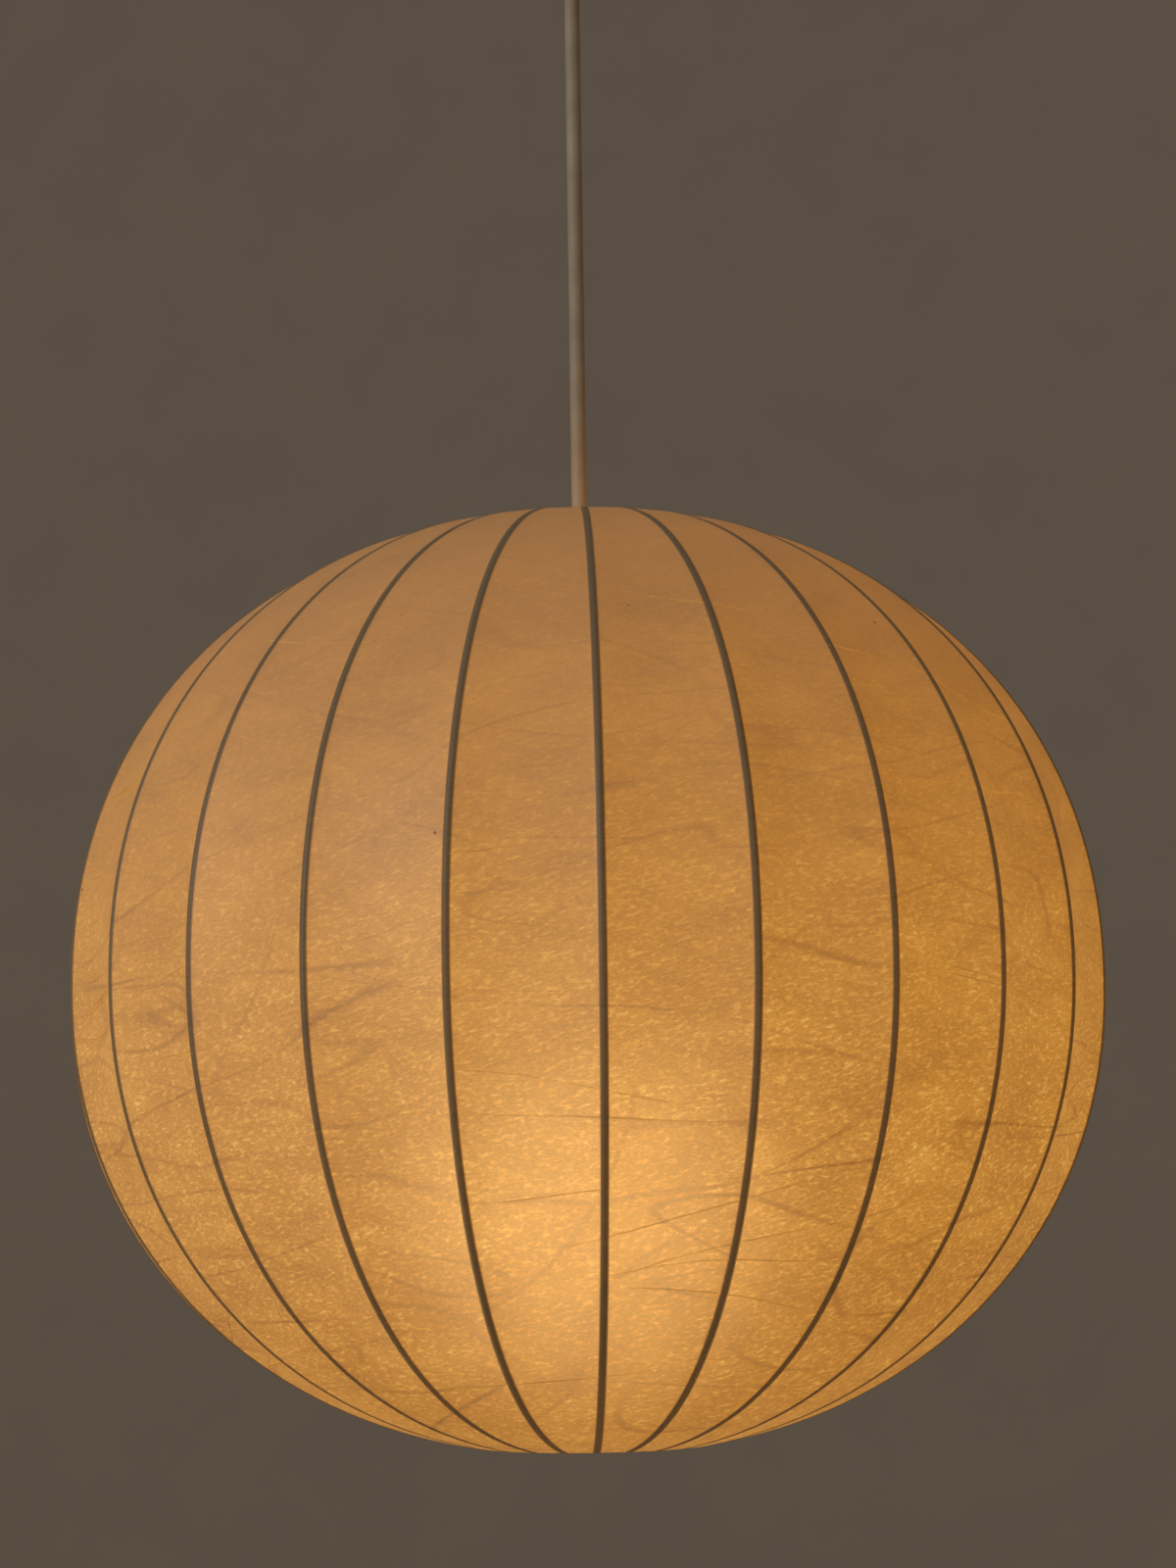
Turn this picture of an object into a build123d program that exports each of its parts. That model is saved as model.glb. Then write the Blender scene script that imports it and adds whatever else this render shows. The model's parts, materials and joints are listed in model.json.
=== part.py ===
from build123d import *
from math import atan2, cos, degrees, pi, radians, sin, sqrt, tan
import os

# Globe pendant lantern.
#
# A squat globe of thin translucent film is stretched over upright steel ribs that run between two
# wire rings. A three-armed spider in the top ring carries a threaded stem with a lampholder and a
# bulb. The lamp hangs by its flex from a ceiling canopy, in which the flex can swing. The flex
# twists where the lamp's grip holds it, and the bulb unscrews downwards. Millimetres. The origin
# is on the ceiling, on the lamp's axis, and everything hangs below it.

os.makedirs("parts", exist_ok=True)

# ---------------------------------------------------------------- driving dimensions
ceiling_drop = 500.0  # from the ceiling down to the widest level of the globe

globe_radius = 210.0  # to the outside of the film over a rib, at the widest level
crown_height = 194.0  # half-height of the outline above the widest level
base_depth = 187.5  # half-height of the outline below it
fullness = 2.13  # exponent of the outline: 2 is an ellipse, more is squarer
rib_count = 24
rib_wire_radius = 1.25
film_thickness = 0.5
film_gap = 0.45  # between a rib and the film that spans it
film_hollow_radius = 150.0  # of the level arc that the film sags to between two ribs
ring_radius = 50.0  # centreline of the top and bottom rings
ring_wire_radius = 1.75
rib_arcs = 7  # tangent arcs that a rib's curve is made of, from the widest level to each end
film_sections = 27  # level sections that the film's facets run between
film_edge_trim = 3.0  # that the film's forms run past its edges, before these are cut

touch = 0.02  # between pieces that are welded or bear on each other
thread_gap = 0.05  # between a male and a female thread, all round
screw_slot_depth = 1.0

spider_drop = 10.0  # from the top ring down to the hub's upper face
hub_radius = 17.0
hub_thickness = 2.0
arm_count = 3
arm_wire_radius = 1.75
arm_overlap = 5.0  # length of each arm that lies on the hub
arm_bend_radius = 8.0
arm_weld_gap = 0.05  # between an arm's end and the ring

cord_radius = 3.2
core_radius = 1.1
core_offset = 1.4  # of each insulated core from the cord's axis
cord_gap = 0.3  # between the cord and a hole that it passes through

stem_radius = 5.0
stem_bore_gap = 0.5  # between the cord and the stem's bore
stem_length = 150.0
stem_engagement = 8.5  # of each stem end in what is screwed on it
stem_end_chamfer = 0.5
chamfer_share = 0.45  # of a wall, which is the most that a chamfer at its end takes
nut_across_flats = 17.0
lock_nut_height = 5.0

grip_radius = 8.0
grip_height = 18.0
grip_top_fillet = 2.0
grip_foot_chamfer = 0.6
grip_thread_run_out = 0.5  # of the grip's thread above the stem's end
grip_screw_radius = 2.0
grip_screw_height = 13.0  # of its axis above the grip's foot
grip_screw_stand_out = 2.5
grip_screw_slot_width = 0.7
grip_screw_chamfer = 0.4

holder_neck_radius = 8.0
holder_neck_height = 10.5
sheath_end_drop = 2.0  # of the flex's sheath below the holder's neck
holder_cap_radius = 18.0
holder_cap_height = 28.0
holder_shoulder_height = 8.0
holder_wall = 1.5
holder_mouth_fillet = 1.0
holder_seam_fillet = 0.6
skirt_radius = 20.0
skirt_length = 40.0
skirt_overlap = 6.0  # of the skirt over the cap
skirt_bore_radius = 15.3
insulator_thickness = 9.0
insulator_gap = 0.1
insulator_rib_width = 3.0
insulator_rib_height = 2.5
shell_bore_radius = 13.6
shell_wall = 0.6
shell_length = 23.0
terminal_offset = 10.0
terminal_screw_radius = 2.2
terminal_screw_height = 3.0
terminal_shank_radius = 1.55
terminal_shank_length = 4.0
terminal_hole_radius = 1.6
terminal_hole_depth = 5.0
terminal_slot_width = 0.7
contact_width = 5.0
contact_thickness = 0.6
contact_drop = 3.0
contact_root = -9.0  # the strip's fixed end, across from the lamp's axis
contact_bend = -3.6  # where it starts down
contact_tongue = -1.6  # where it turns level again
contact_end = 2.6
contact_skew = 0.4  # of each bend's lower corner from its upper one
holder_core_gap = 0.2  # between a core and the terminal screw beside it
holder_core_set_back = 2.5  # of a core from the plane of the terminals
holder_core_lead = 4.0  # straight length below the sheath
holder_core_rise = 7.0  # of its second bend above the insulator
holder_core_foot = 0.2  # of its end above the insulator
holder_core_bend_radius = 1.8

bulb_radius = 30.0
bulb_neck_radius = 13.0
bulb_wall = 0.9
bulb_length = 107.0  # from the contact's tip to the glass's lowest point
bulb_neck_curve = 40.0  # radius of the hollow curve between belly and neck
base_thread_radius = 13.1
base_thread_depth = 0.9
base_thread_pitch = 3.62
base_thread_turns = 5
base_wall = 0.5
base_skirt_radius = 13.9
base_glass_gap = 0.1
base_skirt_length = 5.0
base_insulator_height = 4.0
base_insulator_tip_radius = 5.5
base_contact_radius = 4.6
base_contact_height = 1.4
base_contact_fillet = 0.9
glass_seat_gap = 1.0  # between the glass's top and the thread
filament_count = 4
filament_radius = 0.8
filament_length = 30.0
filament_circle_radius = 9.0
filament_post_radius = 1.6

canopy_radius = 50.0
canopy_height = 42.0
canopy_wall = 2.0
canopy_edge_fillet = 6.0
bracket_width = 20.0
bracket_thickness = 1.5
bracket_ear_depth = 14.0
bracket_clearance = 0.3
slot_spacing = 60.0
slot_length = 12.0
slot_width = 4.6
side_screw_radius = 2.0
side_screw_gap = 0.1
side_screw_level = 9.0
side_screw_head_radius = 3.6
side_screw_head_height = 2.2
side_screw_length = 6.5
side_screw_slot_width = 0.9

bush_thread_radius = 5.0
bush_thread_height = 9.0
bush_flange_radius = 9.0
bush_flange_height = 3.0
bush_body_radius = 7.6
bush_mouth_depth = 10.0  # of the bell mouth below the point where the cord swings
bush_mouth_fillet = 0.5
bush_nut_height = 4.0
swing_limit = 12.0  # degrees
swing_room = 3.0  # degrees to spare at the cord's pointed ends
mouth_room = 0.5

clamp_length = 19.0
clamp_width = 13.0
clamp_height = 7.0
clamp_gap = 0.1  # between the clamp and the bush
clamp_chamfer = 0.8
tail_length = 2.5  # of sheath above the clamp

block_length = 20.0
block_width = 16.0
block_height = 12.0
barrel_spacing = 10.0
barrel_radius = 2.3
barrel_bore_radius = 1.35
barrel_length = 15.0
block_screw_radius = 1.3
block_screw_spacing = 8.0
block_screw_gap = 0.3
block_screw_sink = 1.0  # of a screw's head in the block
block_screw_slot_width = 0.5
block_screw_slot_depth = 0.8
block_fillet = 1.5
canopy_core_lead = 3.5  # straight length above the sheath
canopy_core_reach = 6.0  # of a core's bend outside the block
canopy_core_dip = 6.0  # of the bend below the barrels
canopy_core_stop = 0.5  # of a core's end from the block's middle
canopy_core_bend_radius = 2.4


# ---------------------------------------------------------------- the globe's outline
def half_height(level_is_upper, inset):
    """Half-height of the outline that runs inset inside the film's outer face."""
    return (crown_height if level_is_upper else base_depth) - inset


def outline_point(elevation, inset):
    """(radius, level) where the outline meets a ray at this elevation from the globe's centre."""
    across = cos(elevation) / (globe_radius - inset)
    along = abs(sin(elevation)) / half_height(elevation > 0, inset)
    reach = (across**fullness + along**fullness) ** (-1 / fullness)
    return reach * cos(elevation), equator_level + reach * sin(elevation)


def outline_level(radius, upper, inset):
    """Level of the outline above or below the widest level, at this radius."""
    share = (radius / (globe_radius - inset)) ** fullness
    rise = half_height(upper, inset) * (1 - share) ** (1 / fullness)
    return equator_level + (rise if upper else -rise)


def end_elevation(radius, upper, inset):
    """Elevation, in radians, of the outline's point at this radius."""
    return atan2(outline_level(radius, upper, inset) - equator_level, radius)


def outline_elevations(radius, inset, count):
    """Evenly spaced elevations from the outline's lower end to its upper one."""
    low, high = (end_elevation(radius, upper, inset) for upper in (False, True))
    return [low + (high - low) * i / (count - 1) for i in range(count)]


def upright_plane(azimuth):
    """The plane through the lamp's axis at this azimuth: X is outwards and Y is up."""
    outwards = (cos(radians(azimuth)), sin(radians(azimuth)), 0)
    return Plane(origin=(0, 0, 0), x_dir=outwards, z_dir=(outwards[1], -outwards[0], 0))


def write(builder, name):
    """Labels a finished piece and writes it as its own node."""
    builder.part.label = name
    export_step(builder.part, f"parts/{name}.step")


equator_level = -ceiling_drop
stem_bore_radius = cord_radius + stem_bore_gap
rib_inset = film_thickness + film_gap + rib_wire_radius
ring_inner_radius = ring_radius - ring_wire_radius


def ring_level(upper):
    """Level of a ring's centreline, which lies against the inner side of the ribs."""
    step = 0.5  # over which the outline's slope is taken
    here = outline_level(ring_radius, upper, rib_inset)
    rise = outline_level(ring_radius + step, upper, rib_inset) - here
    lift = (rib_wire_radius + ring_wire_radius + touch) * sqrt(1 + (rise / step) ** 2)
    return here - lift if upper else here + lift


# ---------------------------------------------------------------- levels, top to bottom
canopy_floor_level = -canopy_height
bush_top_level = canopy_floor_level + bush_thread_height
swing_level = canopy_floor_level - bush_flange_height
clamp_level = bush_top_level + clamp_gap
tail_top_level = clamp_level + clamp_height + tail_length

hub_top_level = ring_level(True) - spider_drop
grip_level = hub_top_level + touch
grip_top_level = grip_level + grip_height
stem_top_level = hub_top_level + stem_engagement
stem_bottom_level = stem_top_level - stem_length
cap_top_level = stem_bottom_level + stem_engagement
cap_bottom_level = cap_top_level - holder_cap_height
insulator_top_level = cap_bottom_level - touch
insulator_bottom_level = insulator_top_level - insulator_thickness
skirt_top_level = cap_bottom_level + skirt_overlap
skirt_bottom_level = skirt_top_level - skirt_length
sheath_end_level = cap_top_level - holder_neck_height - sheath_end_drop
bulb_tip_level = insulator_bottom_level - contact_drop - touch  # its contact
base_top_level = bulb_tip_level - base_contact_height - base_insulator_height
thread_length = base_thread_turns * base_thread_pitch
thread_bottom_level = base_top_level - thread_length
base_bottom_level = thread_bottom_level - base_skirt_length
bulb_centre_level = bulb_tip_level - bulb_length + bulb_radius

# ---------------------------------------------------------------- film
# The film is one thin shell with flat facets. Over each rib it stands at the outline, and midway
# between two ribs it is drawn in, as far as an arc of the hollow radius would be. The shell is
# the outer form less the inner one.
film_edge_radius = ring_inner_radius
section_end_radius = film_edge_radius - film_edge_trim


def hollow_radius(radius):
    """Radius of the film midway between two ribs, where over the ribs it has this radius."""
    chord_half = radius * sin(pi / rib_count)
    sagitta = film_hollow_radius - sqrt(film_hollow_radius**2 - chord_half**2)
    return radius * cos(pi / rib_count) - sagitta


def film_form(inset, mode):
    """Lofts the solid form inside the film's face that lies at this inset."""
    sections = []
    for elevation in outline_elevations(section_end_radius, inset, film_sections):
        radius, level = outline_point(elevation, inset)
        reaches = [radius, hollow_radius(radius)]
        corners = [
            (reaches[k % 2] * cos(pi * k / rib_count), reaches[k % 2] * sin(pi * k / rib_count))
            for k in range(2 * rib_count)
        ]
        with BuildSketch(Plane.XY.offset(level)) as section:
            with BuildLine():
                Polyline(*corners, close=True)
            make_face()
        sections.append(section.sketch.face())
    loft(sections, ruled=True, mode=mode)


with BuildPart() as film:
    film_form(0, Mode.ADD)
    film_form(film_thickness, Mode.SUBTRACT)
    with BuildSketch(Plane.XY.offset(equator_level - 2 * base_depth)):
        Circle(film_edge_radius)
    extrude(amount=2 * (base_depth + crown_height), mode=Mode.SUBTRACT)
write(film, "film")

# ---------------------------------------------------------------- wire frame
for index in range(rib_count):
    with BuildPart() as rib:
        with BuildLine(upright_plane(360 / rib_count * index)) as rib_line:
            for upper in (False, True):
                end = end_elevation(ring_inner_radius, upper, rib_inset)
                stops = [outline_point(end * i / rib_arcs, rib_inset) for i in range(rib_arcs + 1)]
                arc = TangentArc(stops[0], stops[1], tangent=(0, 1 if upper else -1))
                for stop in stops[2:]:
                    arc = TangentArc(arc @ 1, stop, tangent=arc % 1)
        rib_path = rib_line.wires()[0]
        with BuildSketch(Plane(origin=rib_path @ 0, z_dir=rib_path % 0)):
            Circle(rib_wire_radius)
        sweep(path=rib_path)
    write(rib, f"rib_{index + 1:02d}")

for upper, name in ((True, "top_ring"), (False, "bottom_ring")):
    with BuildPart() as ring:
        with BuildSketch(Plane.XZ):
            with Locations((ring_radius, ring_level(upper))):
                Circle(ring_wire_radius)
        revolve(axis=Axis.Z)
    write(ring, name)

with BuildPart() as spider_hub:
    with BuildSketch(Plane.XY.offset(hub_top_level - hub_thickness)):
        Circle(hub_radius)
        Circle(stem_radius + thread_gap, mode=Mode.SUBTRACT)
    extrude(amount=hub_thickness)
write(spider_hub, "spider_hub")

with BuildPart() as spider_arms:
    # Each arm is butt welded to the ring, and its other end lies along the hub's upper face.
    resting_level = hub_top_level + arm_wire_radius + touch
    ring_centre = Vector(ring_radius, ring_level(True))
    towards_hub = (Vector(hub_radius + arm_overlap, resting_level) - ring_centre).normalized()
    arm_start = ring_centre + towards_hub * (ring_wire_radius + arm_weld_gap)
    for index in range(arm_count):
        # Half a rib's pitch off the first rib, so that each arm meets the ring between ribs.
        azimuth = 360 / arm_count * index + 180 / rib_count
        with BuildLine(upright_plane(azimuth)) as arm_line:
            FilletPolyline(
                (arm_start.X, arm_start.Y),
                (hub_radius + arm_overlap, resting_level),
                (hub_radius - arm_overlap, resting_level),
                radius=arm_bend_radius,
            )
        with BuildSketch(Plane(origin=arm_line.line @ 0, z_dir=arm_line.line % 0)):
            Circle(arm_wire_radius)
        sweep(path=arm_line.line)
write(spider_arms, "spider_arms")


# ---------------------------------------------------------------- stem and the cord's grip
def hex_nut(level, height, bore_radius):
    """A hexagonal nut standing on this level, with its outer corners eased."""
    with BuildSketch(Plane.XY.offset(level)) as section:
        RegularPolygon(nut_across_flats / 2, 6, major_radius=False)
        Circle(bore_radius, mode=Mode.SUBTRACT)
    extrude(section.sketch, amount=height)


with BuildPart() as stem:
    with BuildSketch(Plane.XY.offset(stem_bottom_level)):
        Circle(stem_radius)
        Circle(stem_bore_radius, mode=Mode.SUBTRACT)
    extrude(amount=stem_length)
    round_edges = stem.edges().filter_by(GeomType.CIRCLE)
    outer_edges = round_edges.filter_by(lambda edge: edge.radius > stem_bore_radius + touch)
    chamfer(outer_edges, min(stem_end_chamfer, chamfer_share * (stem_radius - stem_bore_radius)))
write(stem, "stem")

with BuildPart() as stem_lock_nut:
    nut_level = hub_top_level - hub_thickness - touch - lock_nut_height
    hex_nut(nut_level, lock_nut_height, stem_radius + thread_gap)
write(stem_lock_nut, "stem_lock_nut")

with BuildPart() as cord_grip:
    with BuildSketch(Plane.XY.offset(grip_level)):
        Circle(grip_radius)
    extrude(amount=grip_height)
    fillet(cord_grip.edges().group_by(Axis.Z)[-1], radius=grip_top_fillet)
    chamfer(cord_grip.edges().group_by(Axis.Z)[0], length=grip_foot_chamfer)
    with BuildSketch(Plane.XY.offset(grip_level)):
        Circle(stem_radius + thread_gap)
    extrude(amount=stem_engagement + grip_thread_run_out, mode=Mode.SUBTRACT)
    with BuildSketch(Plane.XY.offset(grip_level)):
        Circle(cord_radius + cord_gap)
    extrude(amount=grip_height, mode=Mode.SUBTRACT)
    with BuildSketch(Plane.YZ):
        with Locations((0, grip_level + grip_screw_height)):
            Circle(grip_screw_radius + thread_gap)
    extrude(amount=grip_radius + 1, mode=Mode.SUBTRACT)
write(cord_grip, "cord_grip")

with BuildPart() as cord_grip_screw:
    screw_length = grip_radius + grip_screw_stand_out - cord_radius - touch
    with BuildSketch(Plane.YZ.offset(cord_radius + touch)):
        with Locations((0, grip_level + grip_screw_height)):
            Circle(grip_screw_radius)
    extrude(amount=screw_length)
    chamfer(cord_grip_screw.edges().group_by(Axis.X)[-1], length=grip_screw_chamfer)
    with BuildSketch(Plane.YZ.offset(cord_radius + touch + screw_length)):
        with Locations((0, grip_level + grip_screw_height)):
            Rectangle(grip_screw_slot_width, 3 * grip_screw_radius)
    extrude(amount=-screw_slot_depth, mode=Mode.SUBTRACT)
write(cord_grip_screw, "cord_grip_screw")

# ---------------------------------------------------------------- lampholder
with BuildPart() as holder_cap:
    shoulder_level = cap_bottom_level + holder_cap_height - holder_neck_height
    with BuildSketch(Plane.XZ):
        with BuildLine():
            Polyline(
                (stem_radius + thread_gap, cap_top_level),
                (holder_neck_radius, cap_top_level),
                (holder_neck_radius, shoulder_level),
                (holder_cap_radius, shoulder_level - holder_shoulder_height),
                (holder_cap_radius, cap_bottom_level),
                (holder_cap_radius - holder_wall, cap_bottom_level),
                (holder_cap_radius - holder_wall, shoulder_level - holder_shoulder_height - 1),
                (stem_radius + thread_gap + 0.5, shoulder_level - holder_wall),
                (stem_radius + thread_gap, shoulder_level - holder_wall),
                close=True,
            )
        make_face()
    revolve(axis=Axis.Z)
write(holder_cap, "holder_cap")

with BuildPart() as holder_body:
    seat_radius = holder_cap_radius + insulator_gap
    seat_level = insulator_bottom_level - touch
    with BuildSketch(Plane.XZ):
        with BuildLine():
            Polyline(
                (skirt_radius, skirt_top_level),
                (skirt_radius, skirt_bottom_level),
                (skirt_bore_radius, skirt_bottom_level),
                (skirt_bore_radius, seat_level),
                (seat_radius, seat_level),
                (seat_radius, skirt_top_level),
                close=True,
            )
        make_face()
    revolve(axis=Axis.Z)
    fillet(holder_body.edges().group_by(Axis.Z)[0], radius=holder_mouth_fillet)
    fillet(holder_body.edges().group_by(Axis.Z)[-1], radius=holder_seam_fillet)
write(holder_body, "holder_body")

with BuildPart() as holder_insulator:
    with BuildSketch(Plane.XY.offset(insulator_bottom_level)):
        Circle(holder_cap_radius)
    extrude(amount=insulator_thickness)
    # A low rib across the middle of the upper face parts the two terminals.
    with BuildSketch(Plane.XY.offset(insulator_top_level)):
        Rectangle(insulator_rib_width, 1.6 * terminal_offset)
    extrude(amount=insulator_rib_height)
    with BuildSketch(Plane.XY.offset(insulator_top_level)):
        with Locations((-terminal_offset, 0), (terminal_offset, 0)):
            Circle(terminal_hole_radius)
    extrude(amount=-terminal_hole_depth, mode=Mode.SUBTRACT)
write(holder_insulator, "holder_insulator")

with BuildPart() as holder_shell:
    shell_top_level = insulator_bottom_level - touch
    with BuildSketch(Plane.XY.offset(shell_top_level - shell_length)):
        Circle(shell_bore_radius + shell_wall)
        Circle(shell_bore_radius, mode=Mode.SUBTRACT)
    extrude(amount=shell_length)
write(holder_shell, "holder_shell")

with BuildPart() as holder_contact:
    # A strip that lies on the insulator and springs down to the bulb's contact.
    strip_level = insulator_bottom_level - touch
    with BuildSketch(Plane.XZ):
        with BuildLine():
            Polyline(
                (contact_root, strip_level),
                (contact_bend, strip_level),
                (contact_tongue, strip_level - contact_drop + contact_thickness),
                (contact_end, strip_level - contact_drop + contact_thickness),
                (contact_end, strip_level - contact_drop),
                (contact_tongue - contact_skew, strip_level - contact_drop),
                (contact_bend - contact_skew, strip_level - contact_thickness),
                (contact_root, strip_level - contact_thickness),
                close=True,
            )
        make_face()
    extrude(amount=contact_width / 2, both=True)
write(holder_contact, "holder_contact")

with BuildPart() as holder_screws:
    with BuildSketch(Plane.XY.offset(insulator_top_level + touch)):
        with Locations((-terminal_offset, 0), (terminal_offset, 0)):
            Circle(terminal_screw_radius)
    extrude(amount=terminal_screw_height)
    with BuildSketch(Plane.XY.offset(insulator_top_level + touch)):
        with Locations((-terminal_offset, 0), (terminal_offset, 0)):
            Circle(terminal_shank_radius)
    extrude(amount=-terminal_shank_length)
    with BuildSketch(Plane.XY.offset(insulator_top_level + touch + terminal_screw_height)):
        with Locations((-terminal_offset, 0), (terminal_offset, 0)):
            Rectangle(terminal_slot_width, 3 * terminal_screw_radius)
    extrude(amount=-screw_slot_depth, mode=Mode.SUBTRACT)
write(holder_screws, "holder_screws")


def core_along(points, bend_radius):
    """An insulated core that follows straight runs and tangent bends."""
    with BuildLine() as core_line:
        FilletPolyline(*points, radius=bend_radius)
    with BuildSketch(Plane(origin=core_line.line @ 0, z_dir=core_line.line % 0)) as section:
        Circle(core_radius)
    sweep(section.sketch, path=core_line.line)


for side, name in ((-1, "holder_core_live"), (1, "holder_core_neutral")):
    with BuildPart() as core:
        end_x = side * (terminal_offset - terminal_screw_radius - core_radius - holder_core_gap)
        core_along(
            [
                (side * core_offset, 0, sheath_end_level - touch),
                (side * core_offset, 0, sheath_end_level - holder_core_lead),
                (end_x, -holder_core_set_back, insulator_top_level + holder_core_rise),
                (end_x, -holder_core_set_back, insulator_top_level + holder_core_foot),
            ],
            holder_core_bend_radius,
        )
    write(core, name)


# ---------------------------------------------------------------- bulb
# The glass stands in the base's skirt to just below the thread. Its belly is round, and a wide
# hollow curve leads from the belly into the straight neck.
glass_top_level = thread_bottom_level - glass_seat_gap
neck_centre_radius = bulb_neck_radius + bulb_neck_curve
neck_centre_rise = sqrt((bulb_radius + bulb_neck_curve) ** 2 - neck_centre_radius**2)
belly_end_angle = degrees(atan2(neck_centre_rise, neck_centre_radius))

with BuildPart() as bulb_glass:
    for inset, mode in ((0, Mode.ADD), (bulb_wall, Mode.SUBTRACT)):
        with BuildSketch(Plane.XZ):
            with BuildLine():
                belly = CenterArc(
                    (0, bulb_centre_level), bulb_radius - inset, -90, 90 + belly_end_angle
                )
                neck = CenterArc(
                    (neck_centre_radius, bulb_centre_level + neck_centre_rise),
                    bulb_neck_curve + inset,
                    180 + belly_end_angle,
                    -belly_end_angle,
                )
                Polyline(
                    neck @ 1,
                    (bulb_neck_radius - inset, glass_top_level),
                    (0, glass_top_level),
                    belly @ 0,
                )
            make_face()
        revolve(axis=Axis.Z, mode=mode)
write(bulb_glass, "bulb_glass")

with BuildPart() as bulb_cap:
    root_radius = base_thread_radius - base_thread_depth
    ledge_level = thread_bottom_level - base_wall
    socket_radius = bulb_neck_radius + base_glass_gap
    with BuildSketch(Plane.XZ):
        with BuildLine():
            for turn in range(base_thread_turns):
                foot = thread_bottom_level + turn * base_thread_pitch
                ThreePointArc(
                    (root_radius, foot),
                    (base_thread_radius, foot + base_thread_pitch / 2),
                    (root_radius, foot + base_thread_pitch),
                )
            Polyline(
                (root_radius, base_top_level),
                (root_radius - base_wall, base_top_level),
                (root_radius - base_wall, ledge_level),
                (socket_radius, ledge_level),
                (socket_radius, base_bottom_level),
                (base_skirt_radius, base_bottom_level),
                (base_skirt_radius, thread_bottom_level),
                (root_radius, thread_bottom_level),
            )
        make_face()
    revolve(axis=Axis.Z)
write(bulb_cap, "bulb_cap")

with BuildPart() as bulb_insulator:
    with BuildSketch(Plane.XY.offset(base_top_level + touch)):
        Circle(root_radius - base_wall)
    with BuildSketch(Plane.XY.offset(base_top_level + base_insulator_height)):
        Circle(base_insulator_tip_radius)
    loft()
write(bulb_insulator, "bulb_insulator")

with BuildPart() as bulb_contact:
    with BuildSketch(Plane.XY.offset(base_top_level + base_insulator_height + touch)):
        Circle(base_contact_radius)
    extrude(amount=base_contact_height - touch)
    fillet(bulb_contact.edges().group_by(Axis.Z)[-1], radius=base_contact_fillet)
write(bulb_contact, "bulb_contact")

with BuildPart() as bulb_filament:
    # A post from the neck, two crosses on it, and the light-emitting sticks between these.
    stick_foot_level = bulb_centre_level - filament_length / 2
    with BuildSketch(Plane.XY.offset(stick_foot_level - filament_radius)):
        Circle(filament_post_radius)
    extrude(amount=base_top_level - touch - stick_foot_level + filament_radius)
    for index in range(filament_count):
        turn = Plane.XY.rotated((0, 0, 360 / filament_count * index))
        for level in (stick_foot_level, stick_foot_level + filament_length):
            with BuildSketch(turn.offset(level - filament_radius)):
                with Locations((filament_circle_radius / 2, 0)):
                    Rectangle(filament_circle_radius, 2 * filament_radius)
            extrude(amount=2 * filament_radius)
        with BuildSketch(turn.offset(stick_foot_level - filament_radius)):
            with Locations((filament_circle_radius, 0)):
                Circle(filament_radius)
        extrude(amount=filament_length + 2 * filament_radius)
write(bulb_filament, "bulb_filament")

# ---------------------------------------------------------------- ceiling fitting
canopy_inner_radius = canopy_radius - canopy_wall
ear_outer = sqrt(canopy_inner_radius**2 - (bracket_width / 2) ** 2) - bracket_clearance

with BuildPart() as bracket:
    with BuildSketch(Plane.XY):
        Rectangle(2 * ear_outer, bracket_width)
    extrude(amount=-bracket_thickness)
    for side in (-1, 1):
        with BuildSketch(Plane.XY):
            with Locations((side * (ear_outer - bracket_thickness / 2), 0)):
                Rectangle(bracket_thickness, bracket_width)
        extrude(amount=-bracket_ear_depth)
    with BuildSketch(Plane.XY):
        with Locations((-slot_spacing / 2, 0), (slot_spacing / 2, 0)):
            SlotOverall(slot_length, slot_width)
    extrude(amount=-bracket_thickness, mode=Mode.SUBTRACT)
    with BuildSketch(Plane.YZ):
        with Locations((0, -side_screw_level)):
            Circle(side_screw_radius + thread_gap)
    extrude(amount=ear_outer + 1, both=True, mode=Mode.SUBTRACT)
write(bracket, "bracket")

with BuildPart() as canopy:
    with BuildSketch(Plane.XY.offset(-canopy_height)):
        Circle(canopy_radius)
    extrude(amount=canopy_height)
    fillet(canopy.edges().group_by(Axis.Z)[0], radius=canopy_edge_fillet)
    offset(amount=-canopy_wall, openings=canopy.faces().sort_by(Axis.Z)[-1])
    with BuildSketch(Plane.XY.offset(-canopy_height)):
        Circle(bush_thread_radius + thread_gap)
    extrude(amount=2 * canopy_wall, mode=Mode.SUBTRACT)
    with BuildSketch(Plane.YZ):
        with Locations((0, -side_screw_level)):
            Circle(side_screw_radius + side_screw_gap)
    extrude(amount=canopy_radius + 1, both=True, mode=Mode.SUBTRACT)
write(canopy, "canopy")

with BuildPart() as canopy_screws:
    for side in (-1, 1):
        outwards = Plane(origin=(0, 0, -side_screw_level), x_dir=(0, 1, 0), z_dir=(side, 0, 0))
        with BuildSketch(outwards.offset(canopy_radius + thread_gap)):
            Circle(side_screw_head_radius)
        extrude(amount=side_screw_head_height)
        with BuildSketch(outwards.offset(canopy_radius + thread_gap)):
            Circle(side_screw_radius)
        extrude(amount=-side_screw_length)
        with BuildSketch(outwards.offset(canopy_radius + thread_gap + side_screw_head_height)):
            Rectangle(3 * side_screw_head_radius, side_screw_slot_width)
        extrude(amount=-screw_slot_depth, mode=Mode.SUBTRACT)
write(canopy_screws, "canopy_screws")

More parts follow.
